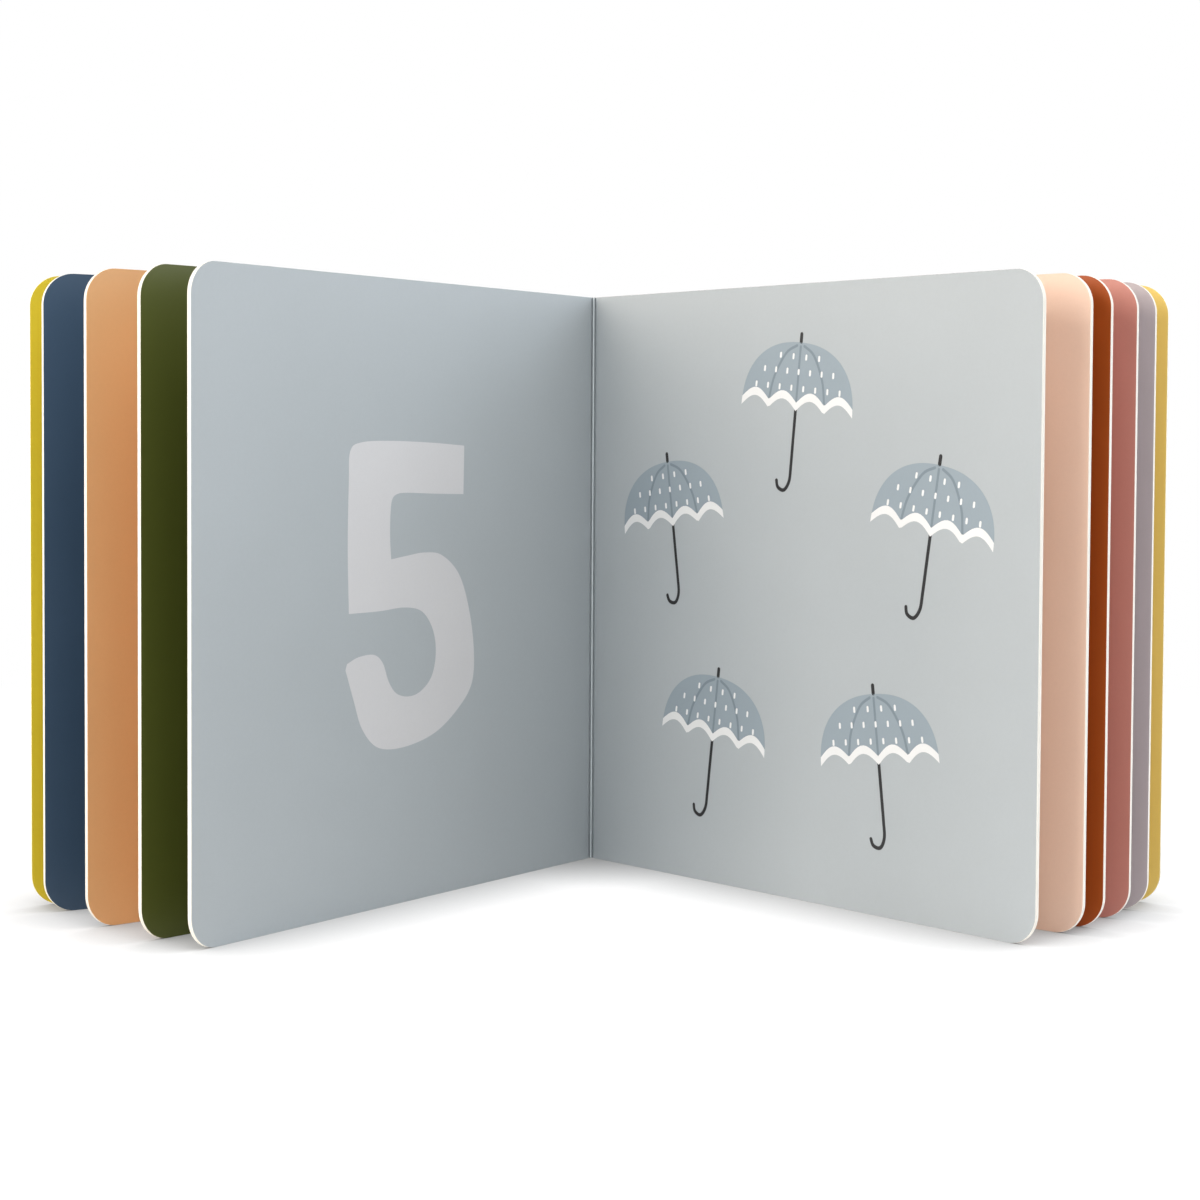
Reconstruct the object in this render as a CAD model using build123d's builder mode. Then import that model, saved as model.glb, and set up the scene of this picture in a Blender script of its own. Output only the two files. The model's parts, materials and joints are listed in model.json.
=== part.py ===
from build123d import *
from itertools import accumulate
from math import atan2, cos, degrees, pi, radians, sin
import os

# A square board book for small children, stood on its bottom edges and fanned open at its fifth spread.
#
# Each spread is one board with a scored fold down its middle. Ten of them are glued back to back, so the
# right half of one spread and the left half of the next make a stiff leaf. The outer halves of the first
# and the last spread are glued to a wrap-round cover board. Its spine strip is free of the folds, and
# bows out behind them as the book opens.
#
# Frame: +Z is up and the open spread faces -Y, with +X to the reader's right. The origin is at floor level
# under the middle of the book's bounding box. Lengths are in millimetres. Angles are in degrees from +X
# towards +Y, seen from above.

# Driving dimensions
page_width = 180.0        # fold to fore-edge
page_height = 180.0       # foot to head
leaf_thickness = 1.4      # two spread boards, glued back to back
cover_thickness = 1.4     # one spread board, glued to the cover board
wrap_thickness = 0.7      # the cover board by itself, round the spine
corner_radius = 9.0       # die-cut corners at the fore-edge
fold_radius = 0.6         # round ridge that scoring raises along a spread's fold
groove_radius = 0.4       # round groove pressed beside the ridge, on each page of the open spread
running_gap = 0.3         # clearance of a cover from the leaf beside it and at its crease
seat_gap = 0.4            # clearance of a cover's root round the ridge of its fold

# The fan: which way the front cover points from its fold, and how far each spread in turn stands open
front_cover_heading = -149.6
spread_openings = (3.1, 8.2, 7.6, 5.7, 76.1, 6.5, 3.1, 4.9, 4.35, 3.85)
open_spread = 5           # the one that stands wide open


def along(angle):
    """Unit vector in plan, pointing the way of an angle."""
    return Vector(cos(radians(angle)), sin(radians(angle)), 0)


def bow_half_angle(arc_length, chord):
    """Half the angle of the arc that has this length and this chord, in radians, found by halving."""
    flattest, roundest = 0.0, pi
    for _ in range(50):
        middle = (flattest + roundest) / 2
        if arc_length * sin(middle) > chord * middle:
            flattest = middle
        else:
            roundest = middle
    return flattest


# Headings of every board from its fold: the front cover, the leaves in order, then the back cover
headings = list(accumulate(spread_openings, initial=front_cover_heading))
front_heading, *leaf_headings, back_heading = headings

# Each leaf's two faces start at two folds, one leaf thickness apart, square to the leaf. So the folds make
# a chain that turns by each spread's opening. A cover stands off its fold by the running gap, and is
# creased along its outer root corner, where it swings.
cover_stand_off = running_gap + cover_thickness
chain = [Vector(0, 0, 0)]
for heading in leaf_headings:
    chain.append(chain[-1] + along(heading + 90) * leaf_thickness)
front_crease = chain[0] - along(front_heading + 90) * cover_stand_off
back_crease = chain[-1] + along(back_heading + 90) * cover_stand_off

# From crease to crease, the spine is as wide as the closed book is thick. The strip is that less a gap at
# each crease, and its mid-surface bows to an arc over the chord between its edges, inside the creases.
chord_line = back_crease - front_crease
chord_heading = degrees(atan2(chord_line.Y, chord_line.X))
edge_inset = running_gap + wrap_thickness / 2
closed_thickness = len(leaf_headings) * leaf_thickness + 2 * cover_thickness
strip_width = closed_thickness - 2 * running_gap
half_angle = bow_half_angle(strip_width, chord_line.length - 2 * edge_inset)
bow_radius = strip_width / (2 * half_angle)
bow_centre = (
    (front_crease + back_crease) / 2
    + along(chord_heading + 90) * (running_gap - bow_radius * cos(half_angle))
)

# Plan corners of every board, and the back of the bow, give the bounding box that the origin centres
corners = [bow_centre + Vector(0, bow_radius + wrap_thickness / 2, 0)]
board_roots = [front_crease] + chain[:-1] + [chain[-1] + along(back_heading + 90) * running_gap]
board_thicknesses = [cover_thickness] + [leaf_thickness] * len(leaf_headings) + [cover_thickness]
for root, heading, thickness in zip(board_roots, headings, board_thicknesses):
    for reach in (0, page_width):
        for depth in (0, thickness):
            corners.append(root + along(heading) * reach + along(heading + 90) * depth)
first_fold = Vector(
    -(min(corner.X for corner in corners) + max(corner.X for corner in corners)) / 2,
    -(min(corner.Y for corner in corners) + max(corner.Y for corner in corners)) / 2,
    0,
)
folds = [first_fold + step for step in chain]


def board_plane(verso_root, heading):
    """Plane of a board's verso: x runs to the fore-edge, y up, and the normal through to the recto."""
    return Plane(origin=first_fold + verso_root, x_dir=along(heading), z_dir=along(heading - 90))


def page_outline():
    """A page, square at the fold and with die-cut round corners at the fore-edge, in the open sketch."""
    page = Rectangle(page_width, page_height, align=(Align.MIN, Align.MIN))
    fillet(page.vertices().group_by(Axis.X)[-1], radius=corner_radius)


def fold_seat(fold):
    """The hollow in a cover's root that clears the ridge of the fold beside it, in the open sketch."""
    with Locations(fold):
        Circle(fold_radius + seat_gap)


os.makedirs("parts", exist_ok=True)

# Page block: a round ridge at every fold, and the leaves that hang from them like a concertina. Where the
# open spread shows its ridge, a groove runs down each page beside it.
with BuildPart() as page_block:
    with BuildSketch(Plane.XY):
        with Locations(*folds):
            Circle(fold_radius)
    extrude(amount=page_height)
    for verso_root, heading in zip(chain[1:], leaf_headings):
        with BuildSketch(board_plane(verso_root, heading)):
            page_outline()
        extrude(amount=leaf_thickness)
    with BuildSketch(Plane.XY):
        for heading in headings[open_spread - 1:open_spread + 1]:
            with Locations(folds[open_spread - 1] + along(heading) * (fold_radius + groove_radius)):
                Circle(groove_radius)
    extrude(amount=page_height, mode=Mode.SUBTRACT)

# Front cover: hollowed at its inner root corner, so that only the cover board reaches the crease
with BuildPart() as front_cover:
    with BuildSketch(board_plane(front_crease + along(front_heading + 90) * cover_thickness, front_heading)):
        page_outline()
    extrude(amount=cover_thickness)
    with BuildSketch(Plane.XY):
        fold_seat(folds[0])
    extrude(amount=page_height, mode=Mode.SUBTRACT)

# Back cover: the same, on the other side of the block
with BuildPart() as back_cover:
    with BuildSketch(board_plane(back_crease, back_heading)):
        page_outline()
    extrude(amount=cover_thickness)
    with BuildSketch(Plane.XY):
        fold_seat(folds[-1])
    extrude(amount=page_height, mode=Mode.SUBTRACT)

# Spine strip: the middle panel of the cover board, bowed out behind the folds
with BuildPart() as spine_strip:
    with BuildSketch(Plane.XY):
        with BuildLine():
            sweep_angle = degrees(2 * half_angle)
            first_angle = chord_heading + 90 - sweep_angle / 2
            bow_place = first_fold + bow_centre
            outside = CenterArc(bow_place, bow_radius + wrap_thickness / 2, first_angle, sweep_angle)
            inside = CenterArc(bow_place, bow_radius - wrap_thickness / 2, first_angle, sweep_angle)
            Line(outside @ 0, inside @ 0)
            Line(outside @ 1, inside @ 1)
        make_face()
    extrude(amount=page_height)

page_block.part.label = "page_block"
front_cover.part.label = "front_cover"
back_cover.part.label = "back_cover"
spine_strip.part.label = "spine_strip"

export_step(page_block.part, "parts/page_block.step")
export_step(front_cover.part, "parts/front_cover.step")
export_step(back_cover.part, "parts/back_cover.step")
export_step(spine_strip.part, "parts/spine_strip.step")
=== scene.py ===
"""Looks for a square board book of numbers, stood on its bottom edges and fanned open at its fifth spread.

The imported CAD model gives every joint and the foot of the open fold. Each spread is built the way a real
one is made: one board, printed on one side, folded once and glued back to back with its neighbours. The
outer halves of the first and the last spread are glued to a wrap-round cover board, whose spine panel is
free and bows out behind the folds. The book's lengths are in millimetres until a mesh is made, and the
studio's are in metres. Headings are in degrees from +X towards +Y, seen from above.
"""

import json
import logging
from abc import ABC, abstractmethod
from dataclasses import dataclass, field
from enum import Enum, IntEnum
from typing import Any

import bmesh
import bpy
import numpy as np
from bpy.types import Material, Mesh, Node, NodeSocket, NodeTree, Object
from mathutils import Matrix, Vector
from numpy.typing import ArrayLike


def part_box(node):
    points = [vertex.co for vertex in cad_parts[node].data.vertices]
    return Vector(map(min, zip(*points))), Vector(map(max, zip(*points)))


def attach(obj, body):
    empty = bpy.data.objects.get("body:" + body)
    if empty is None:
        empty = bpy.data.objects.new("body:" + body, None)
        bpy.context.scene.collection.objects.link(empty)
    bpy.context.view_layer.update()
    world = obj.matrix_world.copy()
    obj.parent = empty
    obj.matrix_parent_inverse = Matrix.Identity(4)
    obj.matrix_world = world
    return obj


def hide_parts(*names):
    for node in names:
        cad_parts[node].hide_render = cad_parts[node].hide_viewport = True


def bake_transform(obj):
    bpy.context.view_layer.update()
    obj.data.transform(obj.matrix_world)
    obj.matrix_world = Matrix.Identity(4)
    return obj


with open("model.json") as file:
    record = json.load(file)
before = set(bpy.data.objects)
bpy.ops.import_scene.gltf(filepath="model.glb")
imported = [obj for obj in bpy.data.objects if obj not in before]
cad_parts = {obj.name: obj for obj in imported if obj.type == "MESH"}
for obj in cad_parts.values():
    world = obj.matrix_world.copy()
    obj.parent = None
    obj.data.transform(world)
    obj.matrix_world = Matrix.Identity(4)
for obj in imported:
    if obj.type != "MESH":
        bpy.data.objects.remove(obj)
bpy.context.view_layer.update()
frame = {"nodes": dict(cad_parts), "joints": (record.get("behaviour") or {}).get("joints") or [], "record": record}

logging.basicConfig(level=logging.INFO, format="%(message)s")
log = logging.getLogger("counting_book")

MM = 0.001
MERGE_DISTANCE = 0.0005 * MM
SHARP_ANGLE = 50.0
BOARD_UV = "board"

Colour = tuple[float, float, float, float]
Place = tuple[float, float, float]
Pairs = tuple[tuple[float, float], ...]
WHITE: Colour = (1.0, 1.0, 1.0, 1.0)


# Small tools ------------


def along(headings: ArrayLike) -> np.ndarray:
    """Unit vectors in plan that point along headings."""
    angle = np.radians(headings)
    return np.stack([np.cos(angle), np.sin(angle)], axis=-1)


def left_of(runs: np.ndarray) -> np.ndarray:
    """Unit vectors in plan, a quarter turn to the left of each run."""
    unit = runs / np.linalg.norm(runs, axis=1, keepdims=True)
    return np.stack([-unit[:, 1], unit[:, 0]], axis=1)


def travel_along(path: np.ndarray) -> np.ndarray:
    """Distance along a path at each of its points."""
    return np.concatenate([[0.0], np.cumsum(np.linalg.norm(np.diff(path, axis=0), axis=1))])


def smooth_step(share: np.ndarray) -> np.ndarray:
    """Rise from 0 to 1 with level ends: three times the square less twice the cube."""
    clipped = np.clip(share, 0.0, 1.0)
    return clipped * clipped * (3 - 2 * clipped)


def smooth_run(points: ArrayLike, steps: int) -> np.ndarray:
    """Smooth curve through given points.

    Each span is the Catmull-Rom cubic: it leaves a point in the direction from the point before it to the
    point after it. Past each end, the end span is carried straight on by its own length.

    Args:
        points: The points, one row each.
        steps: Stations on each span.

    Returns:
        The curve's points, with one row for each station and one more for the end.
    """
    held = np.asarray(points, float)
    padded = np.concatenate([2 * held[:1] - held[1:2], held, 2 * held[-1:] - held[-2:-1]])
    t = np.linspace(0, 1, steps, endpoint=False)[None, :, None]
    before, start, end, after = (padded[i:len(padded) - 3 + i, None, :] for i in range(4))
    curve = 0.5 * (
        2 * start
        + (end - before) * t
        + (2 * before - 5 * start + 4 * end - after) * t**2
        + (3 * start - before - 3 * end + after) * t**3
    )
    return np.concatenate([curve.reshape(-1, held.shape[1]), held[-1:]])


def shared_centre(plan: np.ndarray) -> tuple[np.ndarray, np.ndarray]:
    """Centre of the two circles that points in plan lie on.

    A point p on a circle of radius r about c has p.p equal to 2 p.c plus (r.r - c.c), so least squares
    gives c together with one constant for each circle. The first of the two fits takes all of the points
    as one circle, which is enough to tell the outer ones from the inner ones.

    Args:
        plan: The points.

    Returns:
        The centre, and each point's distance from it.
    """
    circles = [np.ones(len(plan), bool)]
    for _ in range(2):
        system = np.column_stack([2 * plan, *circles])
        centre = np.linalg.lstsq(system, (plan**2).sum(axis=1), rcond=None)[0][:2]
        radii = np.linalg.norm(plan - centre, axis=1)
        circles = [radii > radii.mean(), radii <= radii.mean()]
    return centre, radii


def linear_colour(code: str) -> Colour:
    """Linear RGBA of an sRGB colour.

    Args:
        code: The colour in hex, such as #c8a03c.

    Returns:
        The four channels from 0 to 1, with no transparency.
    """
    srgb = np.array([int(code[i:i + 2], 16) for i in (1, 3, 5)]) / 255
    linear = np.where(srgb <= 0.04045, srgb / 12.92, ((srgb + 0.055) / 1.055) ** 2.4)
    return (*map(float, linear), 1.0)


def add_node(
    tree: NodeTree,
    kind: str,
    settings: dict[str | int, Any] | None = None,
    links: dict[str | int, NodeSocket] | None = None,
) -> Node:
    """Add one node to a tree.

    Args:
        tree: The tree that gets the node.
        kind: The node's type, such as ShaderNodeBump.
        settings: Values by name. A name is an input socket's name or number, or else a property's name.
        links: The output sockets that feed the node's inputs, by the input's name or number.

    Returns:
        The new node.
    """
    node = tree.nodes.new(kind)
    for name, value in (settings or {}).items():
        if isinstance(name, int) or name in node.inputs:
            node.inputs[name].default_value = value
        else:
            setattr(node, name, value)
    for name, source in (links or {}).items():
        tree.links.new(source, node.inputs[name])
    return node


def seen_directly(tree: NodeTree) -> NodeSocket:
    """Tell what is looked at from what only lights other things.

    Args:
        tree: The material's or the world's tree.

    Returns:
        1 for rays from the camera, from gloss and through glass, and 0 for light that falls on things.
    """
    rays = add_node(tree, "ShaderNodeLightPath").outputs
    seen = rays["Is Camera Ray"]
    for ray in ("Is Glossy Ray", "Is Transmission Ray"):
        seen = add_node(tree, "ShaderNodeMath", {"operation": "MAXIMUM"}, {0: seen, 1: rays[ray]}).outputs[0]
    return seen


# Finishes ------------


@dataclass(frozen=True)
class Blots:
    """A noise pattern: its blots' size in mm, and how much finer detail breaks them up."""

    size: float
    detail: float
    roughness: float = 0.55

    def settings(self) -> dict[str, float]:
        """Settings of its noise node, whose scale is one over the blots' size in metres."""
        return {"Scale": 1 / (self.size * MM), "Detail": self.detail, "Roughness": self.roughness}


@dataclass(frozen=True)
class Finish(ABC):
    """A finish that makes its own material."""

    name: str

    @abstractmethod
    def shader(self, tree: NodeTree) -> NodeSocket:
        """The finish's shader, made in its material's tree."""

    def material(self) -> Material:
        """Make the material.

        Returns:
            The new material.
        """
        material = bpy.data.materials.new(self.name)
        material.use_nodes = True
        tree = material.node_tree
        tree.nodes.clear()
        add_node(tree, "ShaderNodeOutputMaterial", None, {"Surface": self.shader(tree)})
        return material


@dataclass(frozen=True)
class LaminatedPrint(Finish):
    """Offset ink on white board under a satin polypropylene film.

    The film gives the eye a soft wide sheen with no clear reflection, and the ink below it is almost even,
    with the faint mottle of litho printing. A swing is how far a pattern moves a value each way.
    """

    colour: str
    mottle: Blots = Blots(0.9, 3.0)  # drawn ten times as coarse as a litho screen, so that it shows
    mottle_swing: float = 0.022
    density: Blots = Blots(38.0, 2.0)
    density_swing: float = 0.03
    roughness: float = 0.46
    roughness_swing: float = 0.05
    film_ior: float = 1.49
    wave: Blots = Blots(14.0, 1.0)
    wave_depth: float = 0.03
    wave_strength: float = 0.5
    grain: Blots = Blots(0.5, 2.0)
    grain_depth: float = 0.006
    grain_strength: float = 0.35

    def shader(self, tree: NodeTree) -> NodeSocket:
        """Even ink under a film that is faintly wavy and grained, on Object coordinates.

        Args:
            tree: The material's tree.

        Returns:
            The shader.
        """
        place = add_node(tree, "ShaderNodeTexCoord").outputs["Object"]
        mottle, density, wave, grain = (
            add_node(tree, "ShaderNodeTexNoise", blots.settings(), {"Vector": place}).outputs["Fac"]
            for blots in (self.mottle, self.density, self.wave, self.grain)
        )
        fine, broad, sheen = (
            add_node(tree, "ShaderNodeMapRange", {
                "To Min": middle - swing, "To Max": middle + swing,
            }, {"Value": pattern}).outputs[0]
            for middle, swing, pattern in (
                (1.0, self.mottle_swing, mottle),
                (1.0, self.density_swing, density),
                (self.roughness, self.roughness_swing, density),
            )
        )
        ink = add_node(tree, "ShaderNodeMath", {"operation": "MULTIPLY"}, {0: fine, 1: broad})
        tone = add_node(tree, "ShaderNodeHueSaturation", {"Color": linear_colour(self.colour)}, {
            "Value": ink.outputs[0],
        })
        waves = add_node(tree, "ShaderNodeBump", {
            "Strength": self.wave_strength, "Distance": self.wave_depth * MM,
        }, {"Height": wave})
        film = add_node(tree, "ShaderNodeBump", {
            "Strength": self.grain_strength, "Distance": self.grain_depth * MM,
        }, {"Height": grain, "Normal": waves.outputs[0]})
        return add_node(tree, "ShaderNodeBsdfPrincipled", {"IOR": self.film_ior}, {
            "Base Color": tone.outputs[0], "Roughness": sheen, "Normal": film.outputs[0],
        }).outputs[0]


@dataclass(frozen=True)
class FibreFinish(Finish):
    """Bare board fibre: matt and near white, with one pattern that both tints it and stands in relief."""

    pale: str
    deep: str
    roughness: float
    relief_depth: float
    relief_strength: float
    ior: float = 1.5

    @abstractmethod
    def pattern(self, tree: NodeTree) -> NodeSocket:
        """The fibre's pattern in its material's tree: low where it is deep, and high where it is pale."""

    def shader(self, tree: NodeTree) -> NodeSocket:
        """Rough fibre, tinted and raised by its pattern.

        Args:
            tree: The material's tree.

        Returns:
            The shader.
        """
        pattern = self.pattern(tree)
        tint = add_node(tree, "ShaderNodeMix", {
            "data_type": "RGBA", 6: linear_colour(self.deep), 7: linear_colour(self.pale),
        }, {0: pattern})
        relief = add_node(tree, "ShaderNodeBump", {
            "Strength": self.relief_strength, "Distance": self.relief_depth * MM,
        }, {"Height": pattern})
        return add_node(tree, "ShaderNodeBsdfPrincipled", {"Roughness": self.roughness, "IOR": self.ior}, {
            "Base Color": tint.outputs[2], "Normal": relief.outputs[0],
        }).outputs[0]


@dataclass(frozen=True)
class DieCutEdge(FibreFinish):
    """The cut edge of solid bleached board, sheared by a steel rule.

    It is bare matt fibre in thin layers, so it shows faint streaks that run along the cut.
    """

    name: str = "die_cut_white_board_edge"
    pale: str = "#fbfaf5"
    deep: str = "#e9e6da"
    roughness: float = 0.8
    relief_depth: float = 0.03
    relief_strength: float = 0.6
    streak_length: float = 7.0
    layer_depth: float = 0.16  # three times as coarse as real plies, so that they show
    streak_detail: float = 3.0
    streak_roughness: float = 0.6

    def pattern(self, tree: NodeTree) -> NodeSocket:
        """Streaks that run along the cut, on the board's own UV map, which is laid out in metres.

        Args:
            tree: The material's tree.

        Returns:
            The pattern.
        """
        place = add_node(tree, "ShaderNodeUVMap", {"uv_map": BOARD_UV}).outputs["UV"]
        stretched = add_node(tree, "ShaderNodeMapping", {
            "Scale": (1 / (self.streak_length * MM), 1 / (self.layer_depth * MM), 1.0),
        }, {"Vector": place})
        return add_node(tree, "ShaderNodeTexNoise", {
            "Scale": 1.0, "Detail": self.streak_detail, "Roughness": self.streak_roughness,
        }, {"Vector": stretched.outputs[0]}).outputs["Fac"]


@dataclass(frozen=True)
class BareBoard(FibreFinish):
    """The unprinted side of the board, seen only down the hollow of the spine: matt, warm white fibre."""

    name: str = "bare_board_back"
    pale: str = "#f1eee4"
    deep: str = "#dfdacb"
    roughness: float = 0.9
    relief_depth: float = 0.02
    relief_strength: float = 0.5
    fibres: Blots = Blots(1.2, 5.0)

    def pattern(self, tree: NodeTree) -> NodeSocket:
        """Blots of fibre, on Object coordinates."""
        place = add_node(tree, "ShaderNodeTexCoord").outputs["Object"]
        return add_node(tree, "ShaderNodeTexNoise", self.fibres.settings(), {"Vector": place}).outputs["Fac"]


@dataclass(frozen=True)
class PaintedFloor(Finish):
    """Pale matt paint that is white to look at, and darkens where the book shades it and close beside it.

    What is seen near the book is a grey diffuse floor plus a glow. The glow is the lift times a power of
    how open the place is, so it fades under and beside the boards as a contact shadow does. Further out,
    past the fade, the floor is plain white. Its reaches are in metres.
    """

    name: str = "painted_studio_floor"
    colour: str = "#fcfcfc"
    seen_colour: str = "#808182"
    lift: float = 0.98
    shadow_reach: float = 0.042
    shadow_power: float = 1.18
    shadow_samples: int = 16
    fade: tuple[float, float] = (0.3, 0.7)

    def near_shader(self, tree: NodeTree) -> NodeSocket:
        """What is seen near the book.

        Args:
            tree: The material's tree.

        Returns:
            The shader.
        """
        shade = add_node(tree, "ShaderNodeBsdfDiffuse", {"Color": linear_colour(self.seen_colour)})
        openness = add_node(tree, "ShaderNodeAmbientOcclusion", {
            "samples": self.shadow_samples, "Distance": self.shadow_reach,
        }).outputs["AO"]
        contact = add_node(tree, "ShaderNodeMath", {
            "operation": "POWER", 1: self.shadow_power,
        }, {0: openness})
        lifted = add_node(tree, "ShaderNodeMath", {"operation": "MULTIPLY", 1: self.lift}, {
            0: contact.outputs[0],
        })
        glow = add_node(tree, "ShaderNodeEmission", {"Color": WHITE}, {"Strength": lifted.outputs[0]})
        return add_node(tree, "ShaderNodeAddShader", None, {
            0: shade.outputs[0], 1: glow.outputs[0],
        }).outputs[0]

    def shader(self, tree: NodeTree) -> NodeSocket:
        """Diffuse paint for the light that it sends back, and the near and the far floor for the eye.

        Args:
            tree: The material's tree.

        Returns:
            The shader.
        """
        bounce = add_node(tree, "ShaderNodeBsdfDiffuse", {"Color": linear_colour(self.colour)})
        place = add_node(tree, "ShaderNodeTexCoord").outputs["Object"]
        reach = add_node(tree, "ShaderNodeVectorMath", {"operation": "LENGTH"}, {0: place})
        fade = add_node(tree, "ShaderNodeMapRange", {
            "interpolation_type": "SMOOTHSTEP", "From Min": self.fade[0], "From Max": self.fade[1],
        }, {"Value": reach.outputs["Value"]})
        far = add_node(tree, "ShaderNodeEmission", {"Color": WHITE, "Strength": 1.0})
        seen = add_node(tree, "ShaderNodeMixShader", None, {
            0: fade.outputs[0], 1: self.near_shader(tree), 2: far.outputs[0],
        })
        return add_node(tree, "ShaderNodeMixShader", None, {
            0: seen_directly(tree), 1: bounce.outputs[0], 2: seen.outputs[0],
        }).outputs[0]


# Layout of the fan ------------


class Side(Enum):
    """The two halves of a spread, as a reader sees them, with the sense in which travel across it grows."""

    LEFT = -1
    RIGHT = 1


@dataclass(frozen=True)
class Half:
    """One half of a spread in plan, in mm: the fold that it starts at, the unit vector that it runs along,
    and the unit vector that points through the board, from the printed side to the glued side."""

    fold: np.ndarray
    run: np.ndarray
    through: np.ndarray
    side: Side


@dataclass(frozen=True)
class Fan:
    """How the boards stand. Headings are those of the CAD source."""

    front_cover_heading: float = -149.6
    spread_openings: tuple[float, ...] = (3.1, 8.2, 7.6, 5.7, 76.1, 6.5, 3.1, 4.9, 4.35, 3.85)
    leaf_thickness: float = 1.4
    open_spread: int = 5

    @property
    def last_spread(self) -> int:
        """The last spread's number."""
        return len(self.spread_openings)

    def headings(self) -> np.ndarray:
        """Headings of the front cover, the nine leaves in order and the back cover."""
        return self.front_cover_heading + np.concatenate([[0.0], np.cumsum(self.spread_openings)])

    def folds(self) -> np.ndarray:
        """Plan points of the ten folds.

        A leaf's two faces start at neighbouring folds, one leaf thickness apart and square to the leaf, so
        the folds make a chain. The record's mount gives the place of the open spread's fold.

        Returns:
            An array of ten rows.
        """
        steps = along(self.headings()[1:-1] + 90) * self.leaf_thickness
        chain = np.concatenate([np.zeros((1, 2)), np.cumsum(steps, axis=0)])
        foot = np.array(frame["record"]["mounts"][0]["pos_m"][:2]) / MM
        return chain - chain[self.open_spread - 1] + foot

    def half(self, spread: int, side: Side) -> Half:
        """One half of a spread, numbered from 1.

        Args:
            spread: The spread's number.
            side: Which half of it.

        Returns:
            Where that half starts and which way it goes.
        """
        heading = self.headings()[spread - 1 if side is Side.LEFT else spread]
        return Half(self.folds()[spread - 1], along(heading), along(heading + 90 * side.value), side)


def crease(joint_name: str) -> np.ndarray:
    """Plan point of a cover's crease, which is where the CAD joint turns."""
    joint = next(j for j in frame["joints"] if j["name"] == joint_name)
    return np.array(joint["pos_m"][:2]) / MM


# Boards ------------


class BoardSurface(IntEnum):
    """The surfaces of a board, by the number of the material that each takes."""

    PRINTED = 0
    CUT = 1
    GLUED = 2
    # painted highlight: paler film over the open fold's bead, for the light that the bead catches
    WHITENED = 3


@dataclass(frozen=True)
class Section:
    """A board cut across, as stations along it, in plan and in mm.

    Attributes:
        printed: Each station's point on the printed side.
        glued: Its point on the other side.
        run: The unit vector that a rounded corner grows along there.
        turn: The angle of the rounded corner there, from 0 where it starts to a quarter turn at the
            fore-edge, in radians.
        travel: Distance along the printed side from the fold, less than 0 on a left half.
        sense: -1 on a left half and 1 on a right half.
    """

    printed: np.ndarray
    glued: np.ndarray
    run: np.ndarray
    turn: np.ndarray
    travel: np.ndarray
    sense: np.ndarray

    def then(self, other: "Section") -> "Section":
        """This section followed by another."""
        pairs = ((getattr(self, name), getattr(other, name)) for name in self.__dataclass_fields__)
        return Section(*(np.concatenate(pair) for pair in pairs))

    def backwards(self) -> "Section":
        """This section from its other end."""
        return Section(*(getattr(self, name)[::-1] for name in self.__dataclass_fields__))


@dataclass(frozen=True)
class BoardStock:
    """The board that the book is made of, and how it is cut and folded."""

    page_width: float = 180.0
    corner_radius: float = 9.0
    thickness: float = 0.68  # two and a 0.04 mm glue line make a leaf
    printed_rounding: float = 0.12  # the rule presses the printed side over the cut
    glued_rounding: float = 0.05
    corner_steps: int = 14
    fold_steps: int = 14

    def half_section(
        self, half: Half, root: float = 0.0, offset: float = 0.0, flipped: bool = False
    ) -> Section:
        """Section of a half board from its root to its fore-edge.

        A station in the rounded corner stands on the corner's centre line, and the mesh adds the corner's
        radius times the sine of its turn along the run.

        Args:
            half: Which half.
            root: Where the board starts, as a distance from the fold.
            offset: How far the side towards the reader lies behind the half's own plane.
            flipped: True if the printed side faces away from the spread, as on the outside of a cover.

        Returns:
            The section, running from the fore-edge to the fold on a left half, and outwards on a right one.
        """
        turn = np.concatenate([[0.0], np.linspace(0, np.pi / 2, self.corner_steps + 1)])
        base = np.full(len(turn), self.page_width - self.corner_radius)
        base[0] = root
        near = half.fold + half.run * base[:, None] + half.through * offset
        far = near + half.through * self.thickness
        printed, glued = (far, near) if flipped else (near, far)
        sense = np.full(len(turn), float(half.side.value))
        section = Section(printed, glued, np.tile(half.run, (len(turn), 1)), turn, sense * base, sense)
        return section.backwards() if half.side is Side.LEFT else section

    def bend_section(self, printed: np.ndarray, glued: np.ndarray) -> Section:
        """Section of a bend between two halves, through given points of its two sides.

        Args:
            printed: Points of the printed side, from left to right.
            glued: Points of the other side.

        Returns:
            The section.
        """
        travel = travel_along(printed)
        zeros = np.zeros(len(printed))
        return Section(printed, glued, np.zeros((len(printed), 2)), zeros, travel - travel[-1] / 2, zeros)

    def ridge_section(self, left: Half, right: Half) -> Section:
        """Section of a closed fold.

        The printed side meets itself at the fold. The other side is an arc of one board thickness about
        the fold, from the back of the left half to the back of the right half.

        Args:
            left: The left half.
            right: The right half.

        Returns:
            The section.
        """
        start = np.degrees(np.arctan2(left.through[1], left.through[0]))
        end = np.degrees(np.arctan2(right.through[1], right.through[0]))
        sweep = -((start - end) % 360)
        headings = start + sweep * np.linspace(0, 1, self.fold_steps + 1)
        printed = np.tile(left.fold, (len(headings), 1))
        return self.bend_section(printed, printed + along(headings) * self.thickness)


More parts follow.
